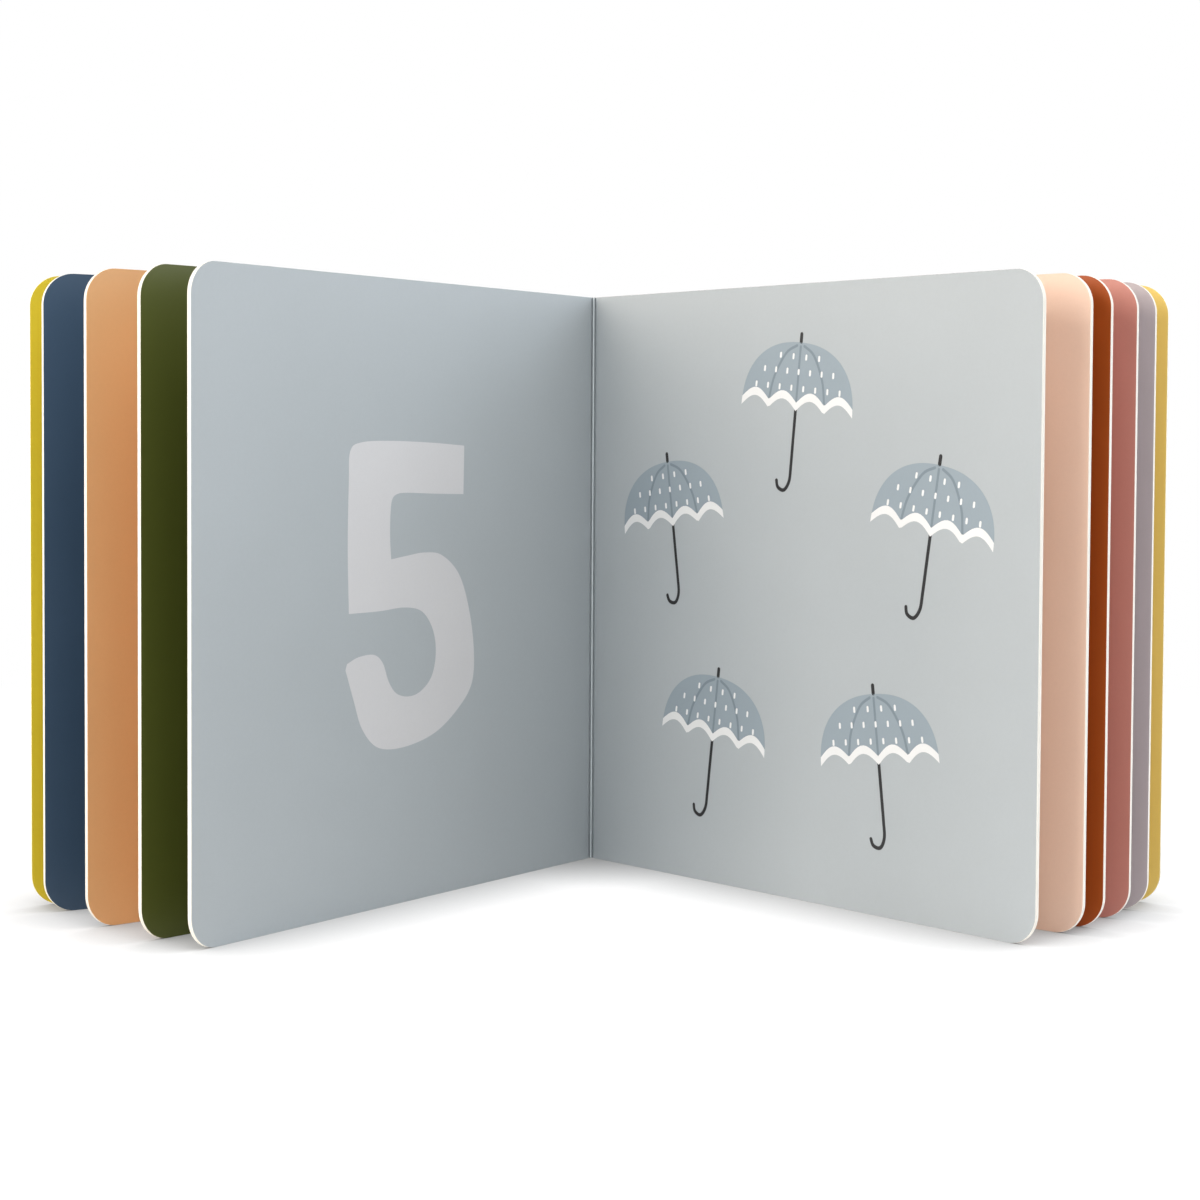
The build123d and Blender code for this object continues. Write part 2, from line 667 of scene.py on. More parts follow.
def solid_mesh(
    name: str, points: np.ndarray, faces: np.ndarray, surfaces: np.ndarray, uvs: np.ndarray | None = None
) -> Mesh:
    """Closed mesh with merged doubles and outward normals.

    Args:
        name: The mesh's name.
        points: Points in mm.
        faces: Four point numbers for each face.
        surfaces: Each face's material number.
        uvs: For each face, the UV of its four corners, or None.

    Returns:
        The mesh, in metres.
    """
    mesh = bpy.data.meshes.new(name)
    mesh.from_pydata((points * MM).tolist(), [], faces.tolist())
    mesh.polygons.foreach_set("material_index", surfaces.astype(np.int32))
    if uvs is not None:
        mesh.uv_layers.new(name=BOARD_UV).data.foreach_set("uv", uvs.astype(np.float32).ravel())
    work = bmesh.new()
    work.from_mesh(mesh)
    bmesh.ops.remove_doubles(work, verts=work.verts, dist=MERGE_DISTANCE)
    bmesh.ops.dissolve_degenerate(work, edges=work.edges, dist=MERGE_DISTANCE)
    bmesh.ops.recalc_face_normals(work, faces=work.faces)
    work.to_mesh(mesh)
    work.free()
    return mesh


def board_faces(rings: int, around: int) -> np.ndarray:
    """Faces of a board made of rings of points.

    The walls come first: ring by ring, each spans two neighbouring points of a ring and the same two of
    the next. The side in the first ring and the side in the last ring follow. A ring runs out along the
    board's foot and back along its head, so each face of a side spans two neighbouring points of the foot
    and the two of the head above them.

    Args:
        rings: How many rings.
        around: How many points each has.

    Returns:
        Four point numbers for each face.
    """
    here = np.arange(around)
    after = (here + 1) % around
    first = np.arange(rings - 1)[:, None] * around
    walls = np.stack([first + here, first + after, first + around + after, first + around + here], axis=2)
    column = np.arange(around // 2 - 1)
    side = np.stack([column, column + 1, around - 2 - column, around - 1 - column], axis=1)
    return np.concatenate([walls.reshape(-1, 4), side, side[:, ::-1] + (rings - 1) * around])


def wall_uvs(outline: np.ndarray, depth: np.ndarray) -> np.ndarray:
    """UV of the walls between rings: the distance round the outline, and the depth through the board.

    Args:
        outline: The points of the widest ring.
        depth: Each ring's depth from the printed side.

    Returns:
        For each wall, the UV of its four corners, in mm.
    """
    step = np.linalg.norm(np.diff(outline, axis=0, append=outline[:1]), axis=1)
    start = np.cumsum(step) - step
    u = np.stack([start, start + step, start + step, start], axis=1)
    v = np.stack([depth[:-1], depth[:-1], depth[1:], depth[1:]], axis=1)[:, None]
    return np.stack(np.broadcast_arrays(u, v), axis=3).reshape(-1, 4, 2)


def board_mesh(name: str, section: Section, stock: BoardStock, height: float, highlight_reach: float = 0.0) -> Mesh:
    """Board with the given section, standing from the floor to `height`, with its rim rounded.

    Rings run round the board from the printed side to the glued side. A ring's inset pulls it in from the
    cut, and its depth is how far it lies from the printed side. At a station with corner turn a, the ring
    lies at the station plus (radius - inset) times sin a along the run, and its foot is at
    inset + (radius - inset)(1 - cos a), mirrored at the head.

    Args:
        name: The piece's name.
        section: The board cut across.
        stock: The board's sizes.
        height: The book's height.
        highlight_reach: How far each way from the fold, along the printed side, the film takes the painted
            highlight.

    Returns:
        The mesh, with a material for each surface.
    """
    front, back, thickness = stock.printed_rounding, stock.glued_rounding, stock.thickness
    arc = 1 - np.sqrt(0.5)  # half-way round a rounded rim, as a share of its radius
    inset = np.array([front, front * arc, 0.0, 0.0, back * arc, back])
    depth = np.array([0.0, front * arc, front, thickness - back, thickness - back * arc, thickness])
    radius = (stock.corner_radius - inset)[:, None]
    reach = radius * np.sin(section.turn)
    foot = inset[:, None] + radius * (1 - np.cos(section.turn))

    def foot_and_head(columns: np.ndarray) -> np.ndarray:
        """Each ring's stations along the foot and then back along the head, from their columns."""
        low, high = (np.concatenate([columns, z[:, :, None]], axis=2) for z in (foot, height - foot))
        return np.concatenate([low, high[:, ::-1]], axis=1)

    share = (depth / thickness)[:, None, None]
    plan = section.printed + share * (section.glued - section.printed) + reach[:, :, None] * section.run
    loops = foot_and_head(plan)
    rings, around = loops.shape[:2]
    faces = board_faces(rings, around)
    sides = faces[(rings - 1) * around:]
    flat = foot_and_head((section.travel + section.sense * reach)[:, :, None])
    uvs = np.concatenate([wall_uvs(loops[np.argmin(inset)], depth), flat.reshape(-1, 2)[sides]]) * MM

    middle = (section.travel[:-1] + section.travel[1:]) / 2
    materials = np.concatenate([
        np.repeat([BoardSurface.PRINTED, *[BoardSurface.CUT] * (rings - 2)], around),
        # painted highlight: printed faces close to the fold take the paler film that stands in for light on the
        # bead
        np.where(np.abs(middle) < highlight_reach, BoardSurface.WHITENED, BoardSurface.PRINTED),
        np.full(len(middle), BoardSurface.GLUED),
    ])
    return solid_mesh(name, loops.reshape(-1, 3), faces, materials, uvs)


def add_piece(mesh: Mesh, materials: list[Material], slot: str, smooth: bool) -> Object:
    """Put a mesh into the scene as a piece.

    Args:
        mesh: The piece's mesh, with its place in it.
        materials: Its materials in order.
        slot: The record's material slot, which is only named in the log.
        smooth: True to shade bends smoothly, with each face weighted by its area.

    Returns:
        The new object, at the origin.
    """
    for material in materials:
        mesh.materials.append(material)
    piece = bpy.data.objects.new(mesh.name, mesh)
    bpy.context.scene.collection.objects.link(piece)
    if smooth:
        mesh.shade_smooth()
        mesh.set_sharp_from_angle(angle=np.radians(SHARP_ANGLE))
        weighted = piece.modifiers.new("weighted normals", "WEIGHTED_NORMAL")
        weighted.keep_sharp = True
    mesh.calc_loop_triangles()
    log.info("%-16s %6d triangles, %s", piece.name, len(mesh.loop_triangles), slot)
    return piece


@dataclass
class BoardWork:
    """A part of the book that is made up of boards, with the stock and the finishes that they share."""

    fan: Fan
    stock: BoardStock
    height: float
    edge: Material
    bare: Material

    def board(
        self,
        name: str,
        section: Section,
        face: Material,
        slot: str,
        film: Material | None = None,
        highlight_reach: float = 0.0,
    ) -> Object:
        """One board that stands the book's full height.

        Args:
            name: The piece's name.
            section: The board cut across.
            face: The print of its printed side.
            slot: The record's material slot.
            film: The paler film painted over the bead as a highlight, where there is any.
            highlight_reach: How far each way from the fold the painted highlight reaches.

        Returns:
            The piece.
        """
        mesh = board_mesh(name, section, self.stock, self.height, highlight_reach)
        finishes = [face, self.edge, self.bare] + ([film] if film else [])
        return add_piece(mesh, finishes, slot, smooth=True)


# The pages ------------


@dataclass(frozen=True)
class Gutter:
    """The open spread's fold, pressed by the rule that scores it into two grooves with a bead between them, with a
    painted highlight on the bead.
    """

    half_width: float = 1.1
    groove_place: float = 0.55
    groove_depth: float = 0.95
    groove_spread: float = 0.18
    bead_height: float = 0.7
    bead_spread: float = 0.24
    whitened: float = 0.42  # painted highlight: the film over the bead is made paler, standing in for the light it catches
    painted_highlight_colour: str = "#cfd8db"
    steps: int = 48

    def section(self, stock: BoardStock, left: Half, right: Half) -> Section:
        """Section of the fold between the two halves.

        Across the fold, the printed side is the V of the two pages, less a bell-shaped groove on each side,
        plus a bell-shaped bead in the middle. The other side is a straight, an arc and a straight at one
        board thickness, with its stations spread evenly along it.

        Args:
            stock: The board's sizes.
            left: The left half.
            right: The right half.

        Returns:
            The section, from the left half to the right half.
        """
        inward = (left.run + right.run) / np.linalg.norm(left.run + right.run)
        across = np.array([-inward[1], inward[0]])
        half_angle = np.arccos(np.clip(left.run @ inward, -1, 1))
        place = np.linspace(-self.half_width, self.half_width, self.steps + 1)
        height = (
            np.abs(place) / np.tan(half_angle)
            - self.groove_depth * np.exp(-(((np.abs(place) - self.groove_place) / self.groove_spread) ** 2))
            + self.bead_height * np.exp(-((place / self.bead_spread) ** 2))
        )
        printed = left.fold + across * place[:, None] + inward * height[:, None]
        outer_turn = np.pi / 2 - half_angle
        half_path = self.root(half_angle) + stock.thickness * outer_turn
        path = np.abs(place) / self.half_width * half_path
        turned = np.minimum(path / stock.thickness, outer_turn)
        onward = np.maximum(path - stock.thickness * outer_turn, 0.0)
        run = np.where((place < 0)[:, None], left.run, right.run)
        outward = across * (np.sign(place) * np.sin(turned))[:, None] - inward * np.cos(turned)[:, None]
        glued = left.fold + outward * stock.thickness + run * onward[:, None]
        return stock.bend_section(printed, glued)

    def root(self, half_angle: float) -> float:
        """Distance from the fold at which the flat page starts, for half the angle between the pages."""
        return self.half_width / np.sin(half_angle)


@dataclass
class PageBlock(BoardWork):
    """Ten folded spreads, glued back to back into nine leaves."""

    gutter: Gutter = Gutter()
    inks: tuple[tuple[str, str], ...] = (
        ("mustard", "#dac735"),
        ("navy", "#3b5168"),
        ("apricot", "#dbae7c"),
        ("olive", "#555c24"),
        ("mist", "#abb2b6"),
        ("peach", "#ebcfbc"),
        ("rust", "#ac531a"),
        ("rose", "#c98b7e"),
        ("lilac", "#bdb2b4"),
        ("ochre", "#e6ca71"),
    )
    prints: dict[int, Material] = field(init=False)

    def __post_init__(self) -> None:
        """Make one laminated print for each spread, by its number."""
        self.prints = {
            spread: LaminatedPrint(f"laminated_{word}_print", colour).material()
            for spread, (word, colour) in enumerate(self.inks, start=1)
        }

    def spread_section(self, spread: int) -> Section:
        """Section of a spread from fore-edge to fore-edge.

        Only the open spread has a wide fold. The first and the last spread have their outer halves on a
        cover, so what rides with the block is the other half and the ridge of the fold.

        Args:
            spread: The spread's number.

        Returns:
            The section.
        """
        left, right = self.fan.half(spread, Side.LEFT), self.fan.half(spread, Side.RIGHT)
        if spread == self.fan.open_spread:
            root = self.gutter.root(np.radians(self.fan.spread_openings[spread - 1]) / 2)
            bend = self.gutter.section(self.stock, left, right)
            return self.stock.half_section(left, root).then(bend).then(self.stock.half_section(right, root))
        section = self.stock.ridge_section(left, right)
        if spread > 1:
            section = self.stock.half_section(left).then(section)
        if spread < self.fan.last_spread:
            section = section.then(self.stock.half_section(right))
        return section

    def build(self) -> list[Object]:
        """All of the block's boards.

        Returns:
            The pieces.
        """
        # painted highlight: a paler film over the open fold's bead
        film = LaminatedPrint("painted_bead_highlight_film", self.gutter.painted_highlight_colour).material()
        pieces = []
        for spread, face in self.prints.items():
            name = f"spread_{spread}" + {1: "_right", self.fan.last_spread: "_left"}.get(spread, "")
            bead_highlight = (film, self.gutter.whitened) if spread == self.fan.open_spread else ()
            piece = self.board(name, self.spread_section(spread), face, "page_board", *bead_highlight)
            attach(piece, "block")
            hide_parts("page_block")
            pieces.append(piece)
        return pieces


# The cover ------------


@dataclass(frozen=True)
class CoverSide:
    """One cover: its CAD body and node, the half of an end spread that lines it, and the lining's print."""

    body: str
    node: str
    half: Half
    lining_print: Material


@dataclass
class CoverWrap(BoardWork):
    """The wrap-round cover board in three panels, with the outer halves of the end spreads glued inside it.

    Its flat panels swing with the covers. The bends at the folds and at the creases are fixed in place, on no
    body.
    """

    prints: dict[int, Material]
    outside_colour: str = "#cdb03a"
    running_gap: float = 0.3
    glue_line: float = 0.04
    lining_root: float = 0.97
    panel_root: float = 0.25
    crease_pull: float = 0.36
    bend_steps: int = 20
    bow_steps: int = 44
    outside: Material = field(init=False)
    panel_offset: float = field(init=False)

    def __post_init__(self) -> None:
        """Make the print of the outside, and work out how far a panel lies behind its half's own plane."""
        self.outside = LaminatedPrint("laminated_cover_print", self.outside_colour).material()
        self.panel_offset = self.running_gap + self.stock.thickness + self.glue_line

    def bow(self) -> tuple[np.ndarray, np.ndarray]:
        """The bowed spine panel's outside and inside, from the front crease to the back crease.

        The panel's CAD mesh gives the arc: its points, seen in plan, lie on two circles about one centre.
        They reach equally far each way from the line that stands square on the middle of the chord between
        the creases.

        Returns:
            Points of the outside and of the inside, in mm.
        """
        node = frame["nodes"]["spine_strip"]
        points = np.empty(len(node.data.vertices) * 3, np.float32)
        node.data.vertices.foreach_get("co", points)
        plan = points.reshape(-1, 3)[:, :2].astype(float) / MM
        centre, radii = shared_centre(plan)
        chord = crease("back_cover_hinge") - crease("front_cover_hinge")
        middle_heading = np.degrees(np.arctan2(chord[1], chord[0])) + 90
        headings = np.degrees(np.arctan2(*(plan - centre).T[::-1]))
        half_sweep = np.abs((headings - middle_heading + 180) % 360 - 180).max()
        around = along(middle_heading + np.linspace(half_sweep, -half_sweep, self.bow_steps + 1))
        return centre + around * radii.max(), centre + around * radii.min()

    def crease_bend(
        self, start: np.ndarray, start_run: np.ndarray, end: np.ndarray, end_run: np.ndarray
    ) -> tuple[np.ndarray, np.ndarray]:
        """Two sides of the board round a crease.

        The middle line is a cubic with a handle at each end, and each side lies half a thickness off it.

        Args:
            start: The middle of the board where the bend starts.
            start_run: The way it leaves there.
            end: The middle of the board where the bend ends.
            end_run: The way it goes on from there.

        Returns:
            Points of its left-hand side and its right-hand side, going from start to end.
        """
        t = np.linspace(0, 1, self.bend_steps + 1)[:, None]
        leaving, arriving = start + start_run * self.crease_pull, end - end_run * self.crease_pull
        middle = (
            (1 - t) ** 3 * start + 3 * (1 - t) ** 2 * t * leaving + 3 * (1 - t) * t**2 * arriving + t**3 * end
        )
        run = (
            3 * (1 - t) ** 2 * (leaving - start)
            + 6 * (1 - t) * t * (arriving - leaving)
            + 3 * t**2 * (end - arriving)
        )
        to_left = left_of(run) * self.stock.thickness / 2
        return middle + to_left, middle - to_left

    def add_panels(self, cover: CoverSide) -> None:
        """The cover's two flat boards: the lining towards the reader, and the panel behind it.

        Args:
            cover: Which cover.
        """
        lining = self.stock.half_section(cover.half, self.lining_root, self.running_gap)
        panel = self.stock.half_section(cover.half, self.panel_root, self.panel_offset, flipped=True)
        for word, section, face in (("lining", lining, cover.lining_print), ("panel", panel, self.outside)):
            piece = self.board(f"{cover.body}_{word}", section, face, "cover_board")
            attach(piece, cover.body)
            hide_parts(cover.node)

    def add_fold(self, cover: CoverSide) -> None:
        """The board between the end fold and the lining of the cover.

        The lining stands off the fold's own plane by the running gap, and the bend eases across to it.

        Args:
            cover: Which cover.
        """
        half = cover.half
        reach = np.linspace(0, self.lining_root, self.bend_steps + 1)[::half.side.value, None]
        off = self.running_gap * smooth_step(reach / self.lining_root)
        printed = half.fold + half.run * reach + half.through * off
        section = self.stock.bend_section(printed, printed + half.through * self.stock.thickness)
        piece = self.board(f"{cover.body}_fold", section, cover.lining_print, "page_board")
        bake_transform(piece)

    def add_crease(self, cover: CoverSide) -> None:
        """The board round a crease, between the bowed spine panel and the cover's panel.

        Args:
            cover: Which cover.
        """
        half = cover.half
        outside, inside = self.bow()
        bow_end, bow_next = ((outside + inside) / 2)[::-half.side.value][:2]
        bow_run = (bow_end - bow_next) / np.linalg.norm(bow_end - bow_next)
        behind = self.panel_offset + self.stock.thickness / 2
        panel_start = half.fold + half.run * self.panel_root + half.through * behind
        sides = self.crease_bend(bow_end, bow_run, panel_start, half.run)
        section = self.stock.bend_section(*sides[::half.side.value])
        piece = self.board(f"{cover.body}_crease", section, self.outside, "cover_board")
        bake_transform(piece)

    def build(self) -> None:
        """Both covers and the spine panel."""
        last = self.fan.last_spread
        for cover in (
            CoverSide("front", "front_cover", self.fan.half(1, Side.LEFT), self.prints[1]),
            CoverSide("back", "back_cover", self.fan.half(last, Side.RIGHT), self.prints[last]),
        ):
            self.add_panels(cover)
            self.add_fold(cover)
            self.add_crease(cover)
        piece = self.board("spine_panel", self.stock.bend_section(*self.bow()), self.outside, "cover_board")
        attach(piece, "block")
        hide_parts("spine_strip")


# Printed artwork ------------


@dataclass(frozen=True)
class Patch:
    """A patch of ink between two edges that run the same way: matched points of each, and its ink's number.

    `level` orders the patches: a higher one is printed over a lower one.
    """

    first: np.ndarray
    second: np.ndarray
    ink: int
    level: int = 0


@dataclass(frozen=True)
class Page:
    """A page to print on. Artwork is drawn in mm, x from the page's left edge and y from its foot.

    A patch of ink is a thin slab. Its top stands off the page and its underside is sunk into it, both a
    little further for each level.
    """

    half: Half
    width: float
    film: float = 0.03
    film_step: float = 0.012
    sunk: float = 0.02
    sunk_step: float = 0.002

    def place(self, drawn: np.ndarray, lift: np.ndarray) -> np.ndarray:
        """Where drawn points lie in the book.

        Args:
            drawn: Points on the page, in mm.
            lift: How far each stands off the page towards the reader, in mm.

        Returns:
            Their places in the book, in mm.
        """
        x, y = drawn[..., 0], drawn[..., 1]
        reach = self.width - x if self.half.side is Side.LEFT else x
        plan = self.half.fold + self.half.run * reach[..., None] - self.half.through * lift[..., None]
        return np.concatenate([plan, y[..., None]], axis=-1)

    def printed_mesh(self, name: str, patches: list[Patch]) -> Mesh:
        """Closed mesh of ink patches on the page.

        Each patch is a four-sided ring carried along its two edges: under and over the first edge, then
        over and under the second. The rings at its two ends are closed.

        Args:
            name: The mesh's name.
            patches: The patches.

        Returns:
            The mesh.
        """
        corner = np.arange(4)
        after = (corner + 1) % 4
        points, faces, materials, count = [], [], [], 0
        for patch in patches:
            drawn = np.stack([patch.first, patch.first, patch.second, patch.second], axis=1)
            over = self.film + self.film_step * patch.level
            under = -self.sunk - self.sunk_step * patch.level
            lift = np.broadcast_to(np.array([under, over, over, under]), drawn.shape[:2])
            points.append(self.place(drawn, lift).reshape(-1, 3))
            ring = np.arange(len(patch.first) - 1)[:, None] * 4
            walls = np.stack([ring + corner, ring + after, ring + 4 + after, ring + 4 + corner], axis=2)
            ends = np.array([corner[::-1], corner + 4 * len(ring)])
            faces.append(np.concatenate([walls.reshape(-1, 4), ends]) + count)
            materials.append(np.full(len(faces[-1]), patch.ink))
            count += len(points[-1])
        return solid_mesh(name, np.concatenate(points), np.concatenate(faces), np.concatenate(materials))


def stroke(
    points: ArrayLike, width: float, ink: int, level: int, steps: int = 6, end_stations: int = 6
) -> Patch:
    """Pen stroke of even width with round ends.

    The two edges lie half a width to each side of the smooth run. Near an end, at distance d from it, the
    half width shrinks as on a circle: the root of (2rd - d squared), r being half the width.

    Args:
        points: Points that the stroke runs through, in mm.
        width: The stroke's width, in mm.
        ink: The ink's number.
        level: The stroke's place in the order of printing.
        steps: Stations between two points.
        end_stations: Stations from each tip to the stroke's full width.

    Returns:
        The stroke.
    """
    path = smooth_run(points, steps)
    travel = travel_along(path)
    half, length = width / 2, travel[-1]
    cap = half * (1 - np.cos(np.linspace(0, np.pi / 2, end_stations)))
    straight = travel[(travel > half) & (travel < length - half)]
    stations = np.unique(np.concatenate([cap, straight, length - cap]))
    path = np.stack([np.interp(stations, travel, path[:, axis]) for axis in range(2)], axis=1)
    near = np.minimum(np.minimum(stations, length - stations), half)
    reach = np.sqrt(np.maximum(2 * half * near - near**2, 0.0))
    to_left = left_of(np.gradient(path, axis=0)) * reach[:, None]
    return Patch(path + to_left, path - to_left, ink, level)


@dataclass
class NumeralFive:
    """The large numeral of the open spread, reversed out of the page's ink as a paler tint.

    It is two brush runs that meet at the foot of the stem. Each run lies between a right-hand and a
    left-hand edge, drawn from the bar's free end to the tail.
    """

    page: Page
    colour: str = "#cfcfd1"
    steps: int = 8
    bar_and_stem: tuple[tuple[float, float, float, float], ...] = (
        (113.5, 132.4, 113.2, 118.0),
        (98.0, 133.2, 99.0, 118.3),
        (80.0, 133.6, 87.0, 118.7),
        (67.0, 133.1, 82.4, 118.3),
        (62.2, 130.6, 80.3, 116.6),
        (61.6, 122.0, 79.6, 112.0),
        (61.2, 104.0, 79.5, 106.0),
        (61.7, 85.0, 80.0, 99.7),
    )
    bowl_and_tail: tuple[tuple[float, float, float, float], ...] = (
        (61.7, 85.0, 80.0, 99.7),
        (75.0, 85.1, 87.0, 100.5),
        (86.0, 85.6, 95.0, 101.2),
        (94.0, 84.0, 103.0, 100.2),
        (99.0, 78.5, 111.0, 94.5),
        (100.4, 71.5, 115.8, 84.5),
        (98.5, 64.8, 118.4, 72.0),
        (93.5, 60.8, 117.6, 61.5),
        (88.0, 59.7, 111.0, 54.3),
        (82.5, 61.0, 100.0, 48.0),
        (79.0, 64.7, 86.0, 45.2),
        (76.4, 70.2, 74.5, 46.1),
        (72.5, 72.8, 67.5, 52.0),
        (66.0, 72.6, 63.8, 60.5),
        (61.0, 71.0, 60.3, 69.3),
    )

    def build(self) -> Object:
        """The numeral as one piece on the block.

        Returns:
            The piece.
        """
        runs = [smooth_run(run, self.steps) for run in (self.bar_and_stem, self.bowl_and_tail)]
        patches = [Patch(edges[:, :2], edges[:, 2:], 0) for edges in runs]
        ink = LaminatedPrint("laminated_pale_numeral_tint", self.colour).material()
        piece = add_piece(self.page.printed_mesh("numeral_five", patches), [ink], "page_board", smooth=False)
        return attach(piece, "block")


class UmbrellaInk(IntEnum):
    """The umbrellas' inks, by the number of the material that each takes."""

    SLATE = 0
    DEEP_SLATE = 1
    OFF_WHITE = 2
    BLACK = 3


@dataclass
class UmbrellaPrints:
    """Five umbrellas to count, printed on the right-hand page.

    A place is the middle of an umbrella's hem, with its tilt in degrees. Each is drawn upright about that
    point, in mm. A row of flecks is its height, its reach as a share of the half span, and its number.
    """

    page: Page
    places: tuple[tuple[float, float, float], ...] = (
        (90.0, 143.0, -6.0),
        (38.0, 108.0, 8.0),
        (142.0, 108.0, -9.0),
        (56.0, 43.0, -7.0),
        (124.0, 43.0, 7.0),
    )
    colours: tuple[str, str, str, str] = ("#909da6", "#78868f", "#e3e5e6", "#1d1c1e")  # in the inks' order
    half_span: float = 22.5
    dome_height: float = 20.0
    dome_power: float = 2.3
    gores: int = 4
    gore_lift: float = 3.2
    gore_steps: int = 16
    band: float = 2.4
    seam_width: float = 0.8
    seam_path: Pairs = ((1.0, 2.6), (0.86, 9.5), (0.5, 16.5), (0.1, 19.2))
    fleck_width: float = 0.75
    fleck_reach: float = 0.9
    fleck_lean: float = 0.1
    fleck_rows: tuple[tuple[float, float, int], ...] = ((6.6, 0.86, 8), (11.4, 0.72, 7), (15.8, 0.46, 4))
    stick_width: float = 1.1
    stick_path: Pairs = (
        (0.0, 0.64),
        (0.0, -8.0),
        (0.0, -16.0),
        (-0.2, -20.6),
        (-2.0, -23.4),
        (-4.6, -22.8),
        (-5.5, -20.4),
    )
    tip_width: float = 1.2
    tip_path: Pairs = ((0.0, 19.6), (0.0, 23.0))

    def hem(self, across: np.ndarray) -> np.ndarray:
        """Height of the scalloped hem: one arch for each gore, as the size of a sine."""
        return self.gore_lift * np.abs(np.sin(np.pi * self.gores * (across / self.half_span + 1) / 2))

    def dome(self, across: np.ndarray) -> np.ndarray:
        """Height of the canopy's outline: half an ellipse, a little fuller than round."""
        share = np.clip(np.abs(across) / self.half_span, 0, 1)
        return self.dome_height * (1 - share**self.dome_power) ** (1 / self.dome_power)

    def canopy(self) -> list[Patch]:
        """The canopy, from its hem to its outline, and the pale band along its hem.

        Its stations are spread across as a cosine, so they crowd together where the outline is steep.

        Returns:
            The two patches.
        """
        across = -np.cos(np.linspace(0, np.pi, self.gore_steps * self.gores + 1)) * self.half_span
        hem = self.hem(across)
        outline = np.maximum(self.dome(across), hem)
        low, high, top = (
            np.stack([across, heights], axis=1)
            for heights in (hem, outline, np.minimum(hem + self.band, outline))
        )
        return [Patch(low, high, UmbrellaInk.SLATE), Patch(low, top, UmbrellaInk.OFF_WHITE, level=1)]

    def seams(self) -> list[Patch]:
        """The seams between the gores.

        A seam starts between two arches of the hem. Its path gives its distance from the middle, as a
        share of that at the hem, against height.

        Returns:
            One stroke for each seam.
        """
        feet = (np.arange(1, self.gores) * 2 / self.gores - 1) * self.half_span
        paths = ([(foot * share, height) for share, height in self.seam_path] for foot in feet)
        return [stroke(path, self.seam_width, UmbrellaInk.DEEP_SLATE, level=1) for path in paths]

    def flecks(self) -> list[Patch]:
        """The short flecks on the canopy, evenly spread in each row, that lean in towards the crown.

        Returns:
            One stroke for each fleck.
        """
        patches = []
        for height, share, number in self.fleck_rows:
            for centre in (np.arange(number) - (number - 1) / 2) * 2 * share * self.half_span / number:
                lean = self.fleck_lean * centre / self.half_span
                path = [(centre, height - self.fleck_reach), (centre - lean, height + self.fleck_reach)]
                patches.append(stroke(path, self.fleck_width, UmbrellaInk.OFF_WHITE, level=2, steps=2))
        return patches

    def stick(self) -> list[Patch]:
        """The shaft with its crook, and the tip over the crown."""
        return [
            stroke(self.stick_path, self.stick_width, UmbrellaInk.BLACK, level=0),
            stroke(self.tip_path, self.tip_width, UmbrellaInk.BLACK, level=0, steps=3),
        ]

    def build(self) -> list[Object]:
        """The five umbrellas, each one piece on the block.

        Returns:
            The pieces.
        """
        inks = [
            LaminatedPrint(f"laminated_{ink.name.lower()}_ink", colour).material()
            for ink, colour in zip(UmbrellaInk, self.colours)
        ]
        upright = self.canopy() + self.seams() + self.flecks() + self.stick()
        pieces = []
        for number, (x, y, tilt) in enumerate(self.places, start=1):
            turn = along([tilt, tilt + 90])
            turned = [
                Patch(patch.first @ turn + (x, y), patch.second @ turn + (x, y), patch.ink, patch.level)
                for patch in upright
            ]
            mesh = self.page.printed_mesh(f"umbrella_{number}", turned)
            piece = add_piece(mesh, inks, "page_board", smooth=False)
            pieces.append(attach(piece, "block"))
        return pieces


# The studio ------------


@dataclass(frozen=True)
class SoftLight:
    """A square diffuser: its place in metres, its power in watts, its colour and its side in metres."""

    name: str
    place: Place
    power: float
    colour: str = "#ffffff"
    side: float = 1.3
    aim: Place = (0.0, 0.0, 0.09)

    def build(self) -> None:
        """Put the light in the scene, facing the middle of the book."""
        light = bpy.data.lights.new(self.name, "AREA")
        light.shape, light.size, light.energy = "SQUARE", self.side, self.power
        light.color = linear_colour(self.colour)[:3]
        lamp = bpy.data.objects.new(self.name, light)
        bpy.context.scene.collection.objects.link(lamp)
        facing = (Vector(self.aim) - Vector(self.place)).to_track_quat("-Z", "Y")
        lamp.matrix_world = Matrix.Translation(self.place) @ facing.to_matrix().to_4x4()


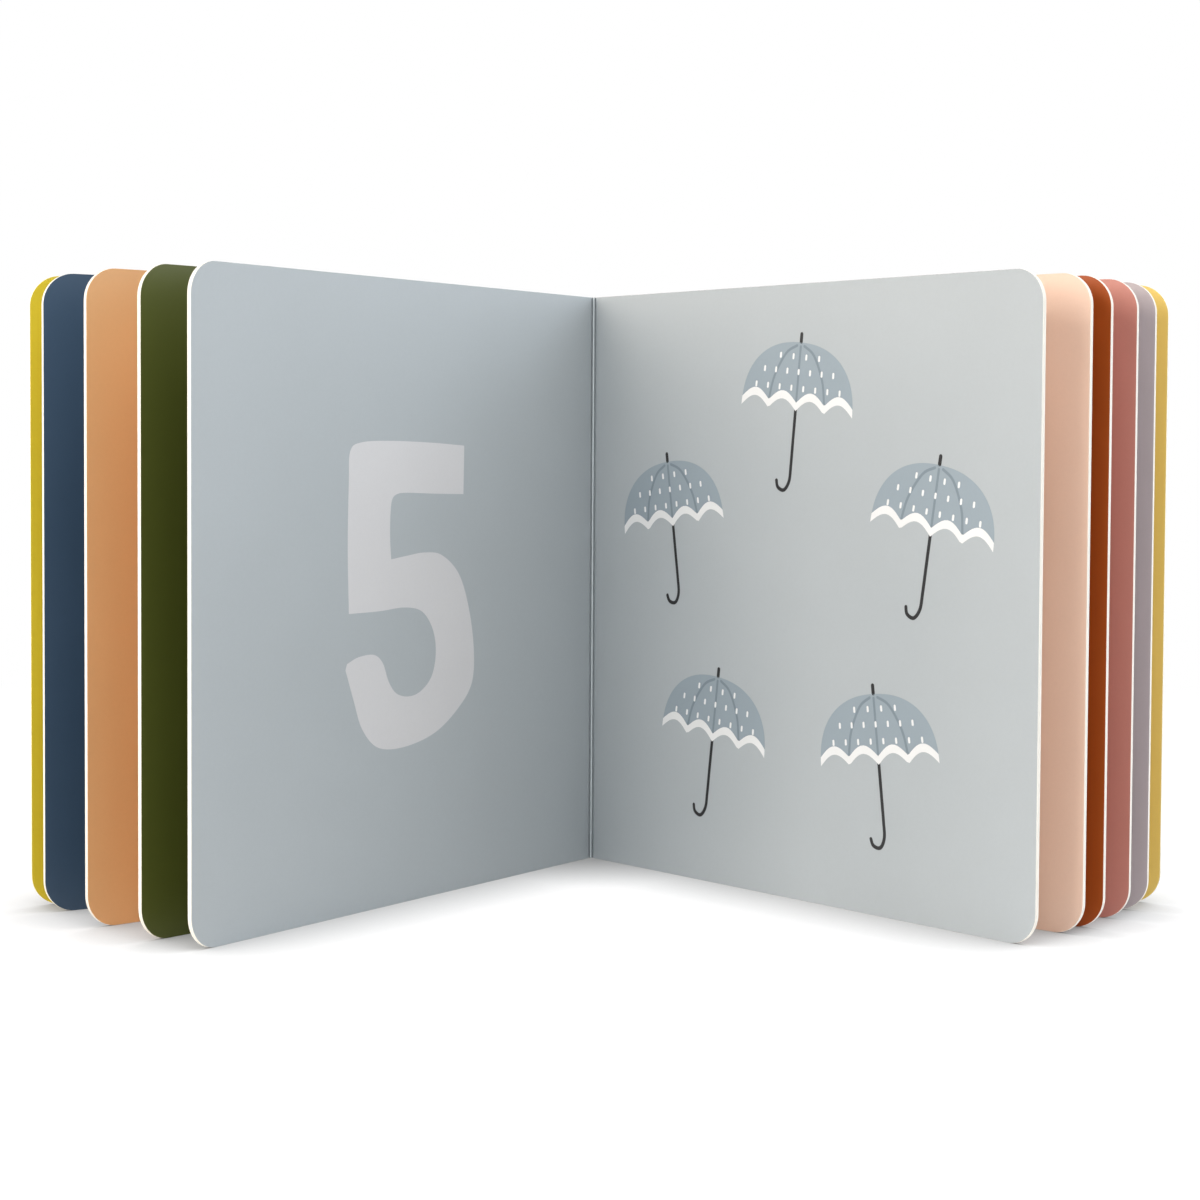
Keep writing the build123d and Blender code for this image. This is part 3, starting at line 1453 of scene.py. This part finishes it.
@dataclass
class Studio:
    """A pale sweep of floor with soft light, and the camera. Lengths are in metres, angles in degrees."""

    lights: tuple[SoftLight, ...] = (
        SoftLight("left_diffuser", (-2.2, 0.0, 0.9), 14.8, "#fff5ea"),
        SoftLight("front_left_diffuser", (-1.65, -1.4, 1.0), 37.5, "#fff5ea"),
        SoftLight("low_front_diffuser", (0.0, -2.0, 0.45), 6.0, "#ffffff", 0.8),
        SoftLight("top_front_diffuser", (0.0, -0.8, 2.0), 16.0),
        SoftLight("top_right_diffuser", (1.0, -0.3, 1.9), 10.5),
        SoftLight("right_diffuser", (2.1, -0.6, 1.0), 10.0, "#f5faff"),
        SoftLight("back_right_diffuser", (2.0, 0.8, 0.9), 12.0, "#f5faff"),
        SoftLight("high_back_right_diffuser", (1.3, 1.0, 1.5), 18.0, "#f5faff"),
    )
    floor: PaintedFloor = PaintedFloor()
    floor_side: float = 14.0
    camera_place: Place = (-0.000898, -0.689759, 0.131363)
    camera_pitch: float = 2.198
    camera_roll: float = 0.3243
    camera_shift: float = -0.0495
    lens: float = 70.894

    def build_world(self) -> None:
        """A background that is white to look at and gives no light."""
        world = bpy.data.worlds.new("studio")
        bpy.context.scene.world = world
        world.use_nodes = True
        tree = world.node_tree
        tree.nodes.clear()
        white = add_node(tree, "ShaderNodeBackground", {"Color": WHITE}, {"Strength": seen_directly(tree)})
        add_node(tree, "ShaderNodeOutputWorld", None, {"Surface": white.outputs[0]})

    def build_floor(self) -> None:
        """A square of painted floor under the book."""
        half = self.floor_side / 2
        corners = [(-half, -half, 0), (half, -half, 0), (half, half, 0), (-half, half, 0)]
        mesh = bpy.data.meshes.new("studio_floor")
        mesh.from_pydata(corners, [], [(0, 1, 2, 3)])
        mesh.materials.append(self.floor.material())
        floor = bpy.data.objects.new("studio_floor", mesh)
        bpy.context.scene.collection.objects.link(floor)

    def build_camera(self) -> None:
        """A camera in front of the open spread, a little above its middle height and tilted down."""
        camera = bpy.data.objects.new("camera", bpy.data.cameras.new("camera"))
        camera.data.lens, camera.data.shift_y = self.lens, self.camera_shift
        camera.matrix_world = (
            Matrix.Translation(self.camera_place)
            @ Matrix.Rotation(np.radians(90 - self.camera_pitch), 4, "X")
            @ Matrix.Rotation(np.radians(self.camera_roll), 4, "Z")
        )
        bpy.context.scene.collection.objects.link(camera)
        bpy.context.scene.camera = camera

    def build(self) -> None:
        """The world, the floor, the lights and the camera."""
        self.build_world()
        self.build_floor()
        for light in self.lights:
            light.build()
        self.build_camera()
        bpy.context.scene.view_settings.view_transform = "Standard"


def main() -> None:
    """Build the book and its studio."""
    fan, stock = Fan(), BoardStock()
    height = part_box("page_block")[1].z / MM
    edge, bare = DieCutEdge().material(), BareBoard().material()
    block = PageBlock(fan, stock, height, edge, bare)
    block.build()
    CoverWrap(fan, stock, height, edge, bare, block.prints).build()
    NumeralFive(Page(fan.half(fan.open_spread, Side.LEFT), stock.page_width)).build()
    UmbrellaPrints(Page(fan.half(fan.open_spread, Side.RIGHT), stock.page_width)).build()
    Studio().build()


if __name__ == "__main__":
    main()
